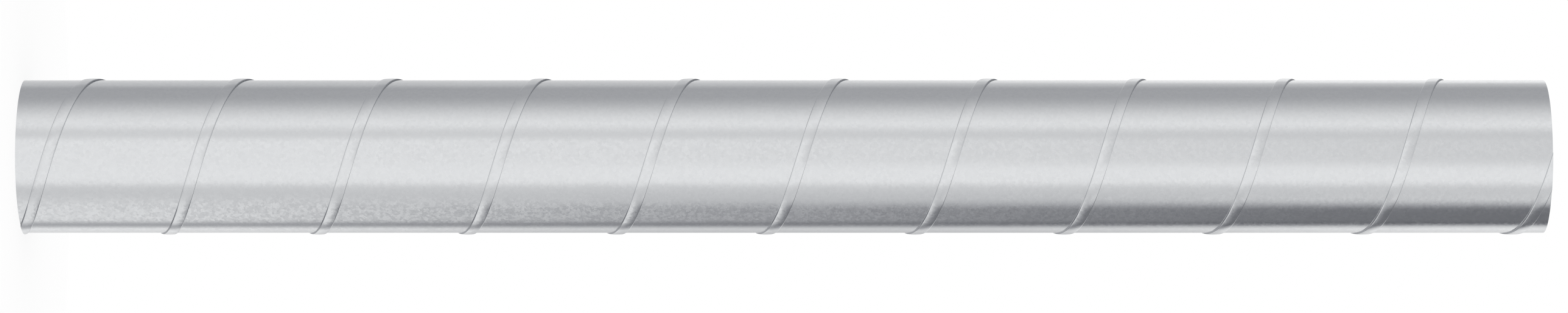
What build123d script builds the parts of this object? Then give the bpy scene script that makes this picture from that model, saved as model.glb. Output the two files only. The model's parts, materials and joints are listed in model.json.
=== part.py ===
from build123d import *
from math import asin, ceil, cos, degrees, pi, radians, sin
import os

os.makedirs("parts", exist_ok=True)

# Round spiral duct: one zinc coated steel strip wound into a tube, its edges folded
# into each other in a lock seam that climbs the outside as a left-handed helix.
# Millimetres. The duct stands on its end: its axis is +Z and its lower end is at z = 0.

# The duct as it is bought
boreDiameter = 125.0  # inside, what a fitting is pushed into
ductLength = 1250.0
sheet = 0.45  # thickness of the strip
stripWidth = 137.0  # flat, before its edges are folded

# The lock seam, measured square to its run
seamWidth = 6.6  # what each of the three extra layers takes of the strip
layerSlack = 0.04  # left between two pressed sheets
foldSlack = 0.3  # left between a fold and the edge that it holds
flankRun = 0.25  # how far the wall leans where it steps up round the hidden fold
crownRise = 0.2  # how far the seam's top bows up between its edges
creviceWidth = 0.9  # the gap left on the inside between the hidden fold and the step
frontSeam = 26.6  # height of the lowest turn on the side that faces -Y

# The helix that the strip's width and the tube's girth give
boreRadius = boreDiameter / 2
skinRadius = boreRadius + sheet
coveredWidth = stripWidth - 3 * seamWidth
girth = pi * (boreDiameter + sheet)
seamAngle = asin(coveredWidth / girth)
pitch = coveredWidth / cos(seamAngle)
print("pitch", round(pitch, 3), "seam angle", round(degrees(seamAngle), 3))

# It starts below the duct on its +X side, and runs past both ends until they are cut
startHeight = frontSeam - pitch / 4 - pitch
turns = ceil(ductLength / pitch) + 2
overrun = 3 * pitch

# The wall is the seam's first layer, and three more lie on it
layer = sheet + layerSlack
seamHeight = 3 * layer
edgeHeight = seamHeight - crownRise
seamRoot = sheet / 2  # how deep the seam's body reaches into the wall
foldRound = layer + sheet / 2  # outside of an edge folded round one layer
foldMiddle = seamWidth / 2 + foldSlack
flank = -foldMiddle - foldRound - layer  # the step's outside, a layer beyond the hidden fold
crownFlat = seamWidth / 4  # half of the bowed top's level middle
creviceMiddle = flank + sheet + creviceWidth / 2
creviceDepth = foldRound


def sectionPoint(across, outwards):
    """A point of a section cut along the axis, where the seam's widths are longer."""
    return (across / cos(seamAngle), outwards)


def bend(across, outwards, bendRadius, angles):
    corners = [(bendRadius * cos(radians(angle)), bendRadius * sin(radians(angle))) for angle in angles]
    return [sectionPoint(across + x, outwards + y) for x, y in corners]


# Up the step, over its shoulder, across the bowed top, and round the folded edge to its foot
seamOutline = [sectionPoint(flank - flankRun, -seamRoot)]
seamOutline += bend(flank + sheet, edgeHeight - sheet, sheet, (180, 90))
seamOutline += [sectionPoint(-crownFlat, seamHeight), sectionPoint(crownFlat, seamHeight)]
seamOutline += bend(foldMiddle, edgeHeight - foldRound, foldRound, (90, 45, 0, -45))
seamOutline += [sectionPoint(foldMiddle, -seamRoot)]

# The crevice is a notch as deep into the seam as it reaches back into the bore
creviceOutline = [sectionPoint(creviceMiddle - creviceWidth, -creviceDepth),
                  sectionPoint(creviceMiddle, creviceDepth),
                  sectionPoint(creviceMiddle + creviceWidth, -creviceDepth)]

with BuildPart() as spiralDuct:
    # The seam: in its section x runs up the duct and y points outwards
    with BuildLine() as seamPath:
        Helix(pitch=pitch, height=turns * pitch, radius=skinRadius, center=(0, 0, startHeight), lefthand=True)
    with BuildSketch(Plane(origin=seamPath.line @ 0, x_dir=(0, 0, 1), z_dir=(0, 1, 0))):
        with BuildLine():
            Polyline(*seamOutline, close=True)
        make_face()
    sweep(path=seamPath.line, is_frenet=True)
    # The wall
    with BuildSketch(Plane.XY.offset(-overrun)):
        Circle(skinRadius)
        Circle(boreRadius, mode=Mode.SUBTRACT)
    extrude(amount=ductLength + 2 * overrun)
    # The crevice that shows inside, along the step
    with BuildLine() as crevicePath:
        Helix(pitch=pitch, height=turns * pitch, radius=boreRadius, center=(0, 0, startHeight), lefthand=True)
    with BuildSketch(Plane(origin=crevicePath.line @ 0, x_dir=(0, 0, 1), z_dir=(0, 1, 0))):
        with BuildLine():
            Polyline(*creviceOutline, close=True)
        make_face()
    sweep(path=crevicePath.line, is_frenet=True, mode=Mode.SUBTRACT)
    # The square cuts at both ends
    with BuildSketch(Plane.XY, Plane.XY.offset(ductLength + 2 * overrun)):
        Circle(boreDiameter)
    extrude(amount=-2 * overrun, mode=Mode.SUBTRACT)

spiralDuct.part.label = "spiral_duct"
export_step(spiralDuct.part, "parts/spiral_duct.step")
print("spiral duct", spiralDuct.part.bounding_box().size, "volume", round(spiralDuct.part.volume))
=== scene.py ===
import json
from math import asin, atan2, ceil, cos, pi, radians, tan

import bmesh
import bpy
from mathutils import Matrix, Vector


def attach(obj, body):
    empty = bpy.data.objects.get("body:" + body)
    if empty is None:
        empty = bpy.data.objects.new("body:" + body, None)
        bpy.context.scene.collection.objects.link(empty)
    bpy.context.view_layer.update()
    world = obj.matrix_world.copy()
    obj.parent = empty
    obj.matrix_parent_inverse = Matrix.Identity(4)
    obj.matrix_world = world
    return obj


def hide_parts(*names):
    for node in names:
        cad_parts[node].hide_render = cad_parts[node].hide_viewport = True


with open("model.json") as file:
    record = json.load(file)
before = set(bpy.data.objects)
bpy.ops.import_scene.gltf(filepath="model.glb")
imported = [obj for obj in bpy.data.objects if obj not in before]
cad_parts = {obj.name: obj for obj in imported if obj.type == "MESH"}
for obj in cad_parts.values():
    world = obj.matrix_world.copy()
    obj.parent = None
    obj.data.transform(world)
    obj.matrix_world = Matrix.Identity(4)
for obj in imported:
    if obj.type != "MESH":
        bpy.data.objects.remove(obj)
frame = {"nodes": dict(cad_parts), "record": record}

print("frame loaded, nodes:", list(frame["nodes"]))


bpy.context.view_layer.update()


# Nodes: sums on sockets are written as sums, and every other node comes from Nodes.add
class Wire:
    def __init__(self, nodes, socket):
        self.nodes = nodes
        self.socket = socket

    def __add__(self, other):
        return self.nodes.math("ADD", self, other)

    def __radd__(self, other):
        return self.nodes.math("ADD", other, self)

    def __sub__(self, other):
        return self.nodes.math("SUBTRACT", self, other)

    def __rsub__(self, other):
        return self.nodes.math("SUBTRACT", other, self)

    def __mul__(self, other):
        return self.nodes.math("MULTIPLY", self, other)

    def __rmul__(self, other):
        return self.nodes.math("MULTIPLY", other, self)

    def __neg__(self):
        return self.nodes.math("MULTIPLY", self, -1.0)


class Nodes:
    def __init__(self, tree):
        self.tree = tree
        tree.nodes.clear()

    def add(self, kind, settings=None, inputs=None, out=0):
        node = self.tree.nodes.new(kind)
        for name, setting in (settings or {}).items():
            setattr(node, name, setting)
        for name, value in (inputs or {}).items():
            if isinstance(value, Wire):
                self.tree.links.new(value.socket, node.inputs[name])
            else:
                node.inputs[name].default_value = value
        return Wire(self, node.outputs[out]) if node.outputs else node

    def math(self, operation, first, second=0.0):
        return self.add("ShaderNodeMath", {"operation": operation}, {0: first, 1: second})

    def vector(self, operation, first, second=(0, 0, 0)):
        return self.add("ShaderNodeVectorMath", {"operation": operation}, {0: first, 1: second})

    def mix(self, share, first, second):
        return self.add("ShaderNodeMix", {"data_type": "RGBA"}, {0: share, 6: first, 7: second}, 2)

    def split(self, vector):
        outputs = self.add("ShaderNodeSeparateXYZ", {}, {"Vector": vector}).socket.node.outputs
        return [Wire(self, outputs[axis]) for axis in "XYZ"]


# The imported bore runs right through, so it gives the duct's length too
boreMount = frame["record"]["mounts"][0]["dims"]

# The duct, in metres. The seam's own sizes place the corners of the strip's middle line.
duct = {
    "bore": 2 * boreMount["r_mm"] / 1000,
    "length": boreMount["length_mm"] / 1000,
    "sheet": 0.00045,
    "stripWidth": 0.137,
    "seamWidth": 0.0066,
    "frontSeam": 0.0266,    # height of the lowest turn on the side that faces -Y
    "layer": 0.000452,      # from one pressed sheet of the seam to the next
    "seamHeight": 0.001465,  # from the wall's outside to the middle of the bowed top
    "stepDrop": 0.00022,    # how much lower the top is on the side where the wall steps up
    "foldDrop": 0.00015,    # and on the folded side
    "stepFoot": 0.00485,    # where the wall starts to climb onto the fold, from the seam's middle
    "stepTop": 0.00455,     # and where it is up
    "innerFold": 0.00325,   # the fold that it climbs over
    "outerFold": 0.00410,   # the fold on the seam's other side
    "hook": 0.0028,         # how far each folded edge reaches back
    "footBend": 0.0003,
    "shoulderBend": 0.00036,
    "foldBend": 0.0003,
    "supportEdge": 0.0004,  # an edge this far from a bend keeps the wall's shading flat
    "bendSteps": 4,
    "topSteps": 7,          # on each side of the bowed top's middle
    "stepsPerTurn": 96,
    "turnsBelow": 2,        # wound below the lower cut, and one fewer is needed above the upper cut
    "sharpEdge": 32,        # degrees
    "weld": 1e-7,           # how near to a cut a point already lies on it
}
coveredWidth = duct["stripWidth"] - 3 * duct["seamWidth"]
seamAngle = asin(coveredWidth / (pi * (duct["bore"] + duct["sheet"])))
pitch = coveredWidth / cos(seamAngle)


def roundedLine(corners):
    # turns (x, y, radius) corners into points, each with the direction to the left of the line
    places = [Vector((x, y)) for x, y, radius in corners]
    radii = [radius for x, y, radius in corners]
    ways = [(there - here).normalized() for here, there in zip(places, places[1:])]
    points = []
    for here, before, after, radius in zip(places, ways[:1] + ways, ways + ways[-1:], radii):
        if not radius:
            along = (before + after).normalized()
            points.append((here, Vector((-along.y, along.x))))
            continue
        turn = atan2(before.x * after.y - before.y * after.x, before.dot(after))
        side = 1 if turn > 0 else -1
        start = here - before * radius * tan(abs(turn) / 2)
        centre = start + Vector((-before.y, before.x)) * radius * side
        for step in range(duct["bendSteps"] + 1):
            spoke = (start - centre).copy()
            spoke.rotate(Matrix.Rotation(turn * step / duct["bendSteps"], 2))
            points.append((centre + spoke, -spoke.normalized() * side))
    return points


def stripSection():
    # x runs across the strip from one folded edge to the other, and y outwards from the bore
    half = duct["sheet"] / 2
    level = [half + duct["layer"] * number for number in range(3)]
    top = half + duct["seamHeight"]
    fold, outer, bend = duct["innerFold"], duct["outerFold"], duct["foldBend"]
    near = duct["supportEdge"]
    foot = coveredWidth - duct["stepFoot"]
    corners = [(duct["hook"], level[2], 0), (-fold, level[2], bend), (-fold, level[0], bend),
               (-fold + bend + near, level[0], 0), (foot - near, level[0], 0),
               (foot, level[0], duct["footBend"]),
               (coveredWidth - duct["stepTop"], top - duct["stepDrop"], duct["shoulderBend"])]
    for number in range(1 - duct["topSteps"], duct["topSteps"]):
        place = number / duct["topSteps"]
        reach, drop = (duct["stepTop"], duct["stepDrop"]) if place < 0 else (outer, duct["foldDrop"])
        corners.append((coveredWidth + place * reach, top - drop * place ** 2, 0))
    corners += [(coveredWidth + outer, top - duct["foldDrop"], bend),
                (coveredWidth + outer, level[1], bend),
                (coveredWidth - duct["hook"], level[1], 0)]
    line = roundedLine(corners)
    outside = [point + left * half for point, left in line]
    inside = [point - left * half for point, left in line]
    return outside + inside[::-1]


def windingTree():
    # winds a flat section, x along the duct and y outwards, round the duct's axis
    tree = bpy.data.node_groups.new("wind strip", "GeometryNodeTree")
    for name, kind in (("Section", "Geometry"), ("Pitch", "Float"), ("Turns", "Float"), ("Steps", "Int"),
                       ("Bore radius", "Float"), ("Start height", "Float"), ("Finish", "Material")):
        tree.interface.new_socket(name, in_out="INPUT", socket_type="NodeSocket" + kind)
    tree.interface.new_socket("Duct", in_out="OUTPUT", socket_type="NodeSocketGeometry")
    nodes = Nodes(tree)
    given = nodes.add("NodeGroupInput").socket.node.outputs
    section, rise, turns, steps, boreRadius, start, finish = (Wire(nodes, given[n]) for n in range(7))
    profile = nodes.add("GeometryNodeMeshToCurve", {}, {"Mesh": section})
    rail = nodes.add("GeometryNodeCurvePrimitiveLine", {}, {"Start": (0, 0, 0), "End": (0, 0, 1)})
    rail = nodes.add("GeometryNodeResampleCurve", {}, {"Curve": rail, "Count": steps + 1})
    straight = nodes.add("GeometryNodeCurveToMesh", {},
                         {"Curve": rail, "Profile Curve": profile, "Fill Caps": True})
    across, outwards, share = nodes.split(nodes.add("GeometryNodeInputPosition"))
    turned = share * turns
    angle = turned * (-2 * pi)  # a left-handed helix turns clockwise as it climbs
    radius = outwards + boreRadius
    wound = nodes.add("ShaderNodeCombineXYZ", {}, {"X": radius * nodes.math("COSINE", angle),
                                                   "Y": radius * nodes.math("SINE", angle),
                                                   "Z": across + start + turned * rise})
    shape = nodes.add("GeometryNodeSetPosition", {}, {"Geometry": straight, "Position": wound})
    shape = nodes.add("GeometryNodeRealizeInstances", {}, {"Geometry": shape})
    shape = nodes.add("GeometryNodeSetMaterial", {}, {"Geometry": shape, "Material": finish})
    nodes.add("NodeGroupOutput", {}, {"Duct": shape})
    return tree


def woundStrip(finish):
    section = bpy.data.meshes.new("strip section")
    points = [(point.x / cos(seamAngle), point.y, 0) for point in stripSection()]
    section.from_pydata(points, [(n, (n + 1) % len(points)) for n in range(len(points))], [])
    raw = bpy.data.objects.new("strip", section)
    bpy.context.scene.collection.objects.link(raw)
    turns = ceil(duct["length"] / pitch) + duct["turnsBelow"] + 1
    # the winding starts on the +X side, a quarter turn before the side that faces -Y
    start = duct["frontSeam"] - pitch / 4 - duct["turnsBelow"] * pitch
    tree = windingTree()
    winding = raw.modifiers.new("winding", "NODES")
    winding.node_group = tree
    sockets = {item.name: item.identifier for item in tree.interface.items_tree if item.in_out == "INPUT"}
    for name, value in (("Pitch", pitch), ("Turns", float(turns)),
                        ("Steps", turns * duct["stepsPerTurn"]), ("Bore radius", duct["bore"] / 2),
                        ("Start height", start), ("Finish", finish)):
        winding[sockets[name]] = value
    evaluated = raw.evaluated_get(bpy.context.evaluated_depsgraph_get())
    wound = bpy.data.meshes.new_from_object(evaluated)
    bpy.data.objects.remove(raw)
    return wound


def cutEnds(mesh):
    # saws the strip square at both ends of the duct and closes the cuts
    shape = bmesh.new()
    shape.from_mesh(mesh)
    for height, outwards in ((0.0, -1), (duct["length"], 1)):
        everything = shape.verts[:] + shape.edges[:] + shape.faces[:]
        cut = bmesh.ops.bisect_plane(shape, geom=everything, dist=duct["weld"], plane_co=(0, 0, height),
                                     plane_no=(0, 0, outwards), clear_outer=True)
        rim = [edge for edge in cut["geom_cut"] if isinstance(edge, bmesh.types.BMEdge)]
        bmesh.ops.triangle_fill(shape, use_beauty=True, edges=rim)
    bmesh.ops.recalc_face_normals(shape, faces=shape.faces)
    for face in shape.faces:
        face.smooth = True
    openEdges = sum(not edge.is_manifold for edge in shape.edges)
    print("duct cut: faces", len(shape.faces), "open edges", openEdges)
    shape.to_mesh(mesh)
    shape.free()
    mesh.set_sharp_from_angle(angle=radians(duct["sharpEdge"]))


# The finish: hot dip galvanised sheet. Its spangle is ragged grains of zinc, each leaning its own way.
zinc = {
    "bright": (0.746, 0.758, 0.771, 1.0),
    "dull": (0.714, 0.726, 0.740, 1.0),
    "grain": 0.0024,        # across a grain
    "ragged": 0.0013,       # the size of the curls in the grains' edges
    "raggedDetail": 3.0,
    "curl": 0.0034,         # how far those edges wander
    "fleck": 0.0008,        # across the finer flecks on the grains
    "tone": 0.5,            # a grain's random numbers are each 0 or this
    "grainTint": 0.7,       # how far the grains take the colour from bright to dull
    "fleckTint": 0.3,
    "grainLean": (0.013, 0.013, 0.034),   # most along the duct
    "fleckLean": (0.010, 0.010, 0.020),
    "ripple": 0.02,         # across one wave of the strip, which is never quite flat
    "rippleDetail": 1.0,
    "rippleLean": (0.010, 0.010, 0.010),
    "roughness": (0.13, 0.20),
    "innerDull": 0.34,      # how much rougher the strip's inner face is, which no roller has burnished
    "innerMetal": 0.72,
}


def galvanisedSteel():
    material = bpy.data.materials.new("galvanised steel")
    material.use_nodes = True
    nodes = Nodes(material.node_tree)
    place = nodes.add("ShaderNodeTexCoord", {}, {}, "Object")

    def noise(size, detail):
        return nodes.add("ShaderNodeTexNoise", {},
                         {"Vector": place, "Scale": 1 / size, "Detail": detail}, "Color")

    def around(vector, middle, reach):
        shifted = nodes.vector("SUBTRACT", vector, (middle,) * 3)
        return nodes.vector("MULTIPLY", shifted, reach)

    wander = around(noise(zinc["ragged"], zinc["raggedDetail"]), 0.5, (zinc["curl"],) * 3)
    curled = nodes.vector("ADD", place, wander)

    def cells(size):
        return nodes.add("ShaderNodeTexVoronoi", {}, {"Vector": curled, "Scale": 1 / size}, "Color")

    grains = nodes.vector("SNAP", cells(zinc["grain"]), (zinc["tone"],) * 3)
    flecks = cells(zinc["fleck"])
    ripple = noise(zinc["ripple"], zinc["rippleDetail"])
    normal = nodes.add("ShaderNodeNewGeometry", {}, {}, "Normal")
    for pattern, middle, lean in ((grains, zinc["tone"] / 2, zinc["grainLean"]),
                                  (flecks, 0.5, zinc["fleckLean"]),
                                  (ripple, 0.5, zinc["rippleLean"])):
        normal = nodes.vector("ADD", normal, around(pattern, middle, lean))
    normal = nodes.vector("NORMALIZE", normal)
    first, second, third = nodes.split(grains)  # a grain's three random numbers
    share = (first + second) * zinc["grainTint"] + nodes.split(flecks)[0] * zinc["fleckTint"]
    colour = nodes.mix(share, zinc["bright"], zinc["dull"])
    smooth, rough = zinc["roughness"]
    x, y = nodes.split(place)[:2]
    middleRadius = duct["bore"] / 2 + duct["sheet"] / 2
    outer = nodes.math("GREATER_THAN", x * x + y * y, middleRadius ** 2)
    roughness = smooth + (second + third) * (rough - smooth) + (1 - outer) * zinc["innerDull"]
    metallic = zinc["innerMetal"] + outer * (1 - zinc["innerMetal"])
    metal = nodes.add("ShaderNodeBsdfPrincipled", {}, {"Base Color": colour, "Metallic": metallic,
                                                       "Roughness": roughness, "Normal": normal})
    nodes.add("ShaderNodeOutputMaterial", {}, {"Surface": metal})
    return material


finish = galvanisedSteel()
spiral = bpy.data.objects.new("spiral_duct_strip", woundStrip(finish))
cutEnds(spiral.data)
bpy.context.scene.collection.objects.link(spiral)
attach(spiral, "root")
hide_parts("spiral_duct")
print("duct wound")

# The studio: a pale floor, and a white surround with soft grey flags that only the metal's gloss sees
studio = {
    "floorRadius": 0.3,
    "floorSides": 96,
    "floorPaint": 0.8,
    "floorGlow": 0.6,       # share of the floor's white that no shadow darkens
    "plainLight": 0.75,     # the surround as it lights dull surfaces
    "shade": (0.86, 0.885, 1.0, 1.0),  # the tint of the darkest flags
}
# Each flag has its brightness, then the degrees from the front towards the picture's top at which it
# starts, is full, stops being full and ends, and then the same for its height above the horizon.
# One whose end lies past 180 stands on both sides of the back.
wholeHeight = (-92, -91, 91, 92)
flags = {
    "upper line": (0.82, (22, 33, 36, 52), (-92, -91, -8, 20)),
    "top flag": (0.48, (44, 104, 120, 140), wholeHeight),
    "rim": (0.66, (117, 134, 142, 153), wholeHeight),
    "low rim": (0.72, (140, 152, 160, 178), (-92, -91, -3, 7)),
    "front shade": (0.80, (-22, -3, 30, 49), (-7, 9.5, 91, 92)),
    "low flag": (0.76, (-84, -56, -50, -36), wholeHeight),
    "low side": (0.94, (-122, -112, -78, -58), wholeHeight),
    "far low flag": (0.22, (-134, -120, -88, -65), (-8, 7, 91, 92)),
    "middle": (0.785, (-182, -181, -72, -48), (-7, -1, 2, 7)),
    "low edge": (0.83, (-182, -181, -160, -140), wholeHeight),
    "ground line": (0.49, (-143, -127, -125, -111), (-92, -91, -2, 18)),
    "front low end": (0.85, (-70, -50, 60, 90), (-92, -91, -20, -13)),
    "front high end": (0.86, (-30, -10, 50, 70), (8, 18, 91, 92)),
    "lower end": (0.35, (-150, -130, -95, -70), (-92, -91, -28, -12)),
    "low back end": (0.55, (125, 150, 181, 182), (-92, -91, -30, -10)),
    "back end": (0.25, (100, 175, 181, 182), (8, 35, 91, 92)),
}


def ramp(nodes, value, low, high, fromLevel=0.0, toLevel=1.0):
    levels = {"Value": value, "From Min": low, "From Max": high, "To Min": fromLevel, "To Max": toLevel}
    return nodes.add("ShaderNodeMapRange", {"interpolation_type": "SMOOTHSTEP"}, levels)


def patch(nodes, value, start, full, fullEnd, end):
    return ramp(nodes, value, start, full) * ramp(nodes, value, fullEnd, end, 1, 0)


def rayKinds(nodes):
    outputs = nodes.add("ShaderNodeLightPath").socket.node.outputs
    return [Wire(nodes, outputs[f"Is {kind} Ray"]) for kind in ("Camera", "Glossy", "Transmission")]


def surround():
    world = bpy.data.worlds.new("white surround")
    world.use_nodes = True
    world.cycles.sampling_method = "NONE"
    nodes = Nodes(world.node_tree)
    x, y, z = nodes.split(nodes.add("ShaderNodeTexCoord", {}, {}, "Generated"))
    turned = nodes.math("ARCTAN2", -x, -y) * (180 / pi)
    height = nodes.math("ARCSINE", z) * (180 / pi)
    light = 1
    for level, turn, rise in flags.values():
        side = nodes.math("ABSOLUTE", turned) if turn[-1] > 180 else turned
        share = patch(nodes, side, *turn)
        if rise != wholeHeight:
            share = share * patch(nodes, height, *rise)
        light = light * (1 - share * (1 - level))
    camera, glossy, through = rayKinds(nodes)
    plain = studio["plainLight"]
    strength = plain + (camera + through) * (1 - plain) + glossy * (light - plain)
    tint = nodes.mix(glossy * (1 - light) * (1 - light), (1, 1, 1, 1), studio["shade"])
    shine = nodes.add("ShaderNodeBackground", {}, {"Color": tint, "Strength": strength})
    nodes.add("ShaderNodeOutputWorld", {}, {"Surface": shine})
    bpy.context.scene.world = world


def floor():
    material = bpy.data.materials.new("pale floor")
    material.use_nodes = True
    nodes = Nodes(material.node_tree)
    share, paint = studio["floorGlow"], studio["floorPaint"]
    lit = nodes.add("ShaderNodeBsdfDiffuse", {}, {"Color": (paint, paint, paint, 1)})
    white = (1 - (1 - share) * paint * studio["plainLight"]) / share
    glow = nodes.add("ShaderNodeEmission", {}, {"Color": (1, 1, 1, 1), "Strength": white})
    camera, glossy, through = rayKinds(nodes)
    both = nodes.add("ShaderNodeMixShader", {}, {0: (camera + glossy + through) * share, 1: lit, 2: glow})
    nodes.add("ShaderNodeOutputMaterial", {}, {"Surface": both})
    shape = bmesh.new()
    bmesh.ops.create_circle(shape, cap_ends=True, segments=studio["floorSides"],
                            radius=studio["floorRadius"])
    mesh = bpy.data.meshes.new("floor")
    shape.to_mesh(mesh)
    shape.free()
    mesh.materials.append(material)
    disc = bpy.data.objects.new("floor", mesh)
    disc.visible_glossy = False
    bpy.context.scene.collection.objects.link(disc)


surround()
floor()
bpy.context.scene.view_settings.view_transform = "Standard"
print("studio set")

# The camera looks square at the duct's side, rolled so that the standing duct lies across the picture
view = {
    "distance": 4.769,
    "lens": 132.94,
    "sensor": 36.0,
}
lens = bpy.data.cameras.new("camera")
lens.lens = view["lens"]
lens.sensor_width = view["sensor"]
camera = bpy.data.objects.new("camera", lens)
camera.matrix_world = Matrix(((0, -1, 0, 0),
                              (0, 0, -1, -view["distance"]),
                              (1, 0, 0, duct["length"] / 2),
                              (0, 0, 0, 1)))
bpy.context.scene.collection.objects.link(camera)
bpy.context.scene.camera = camera
print("camera set")
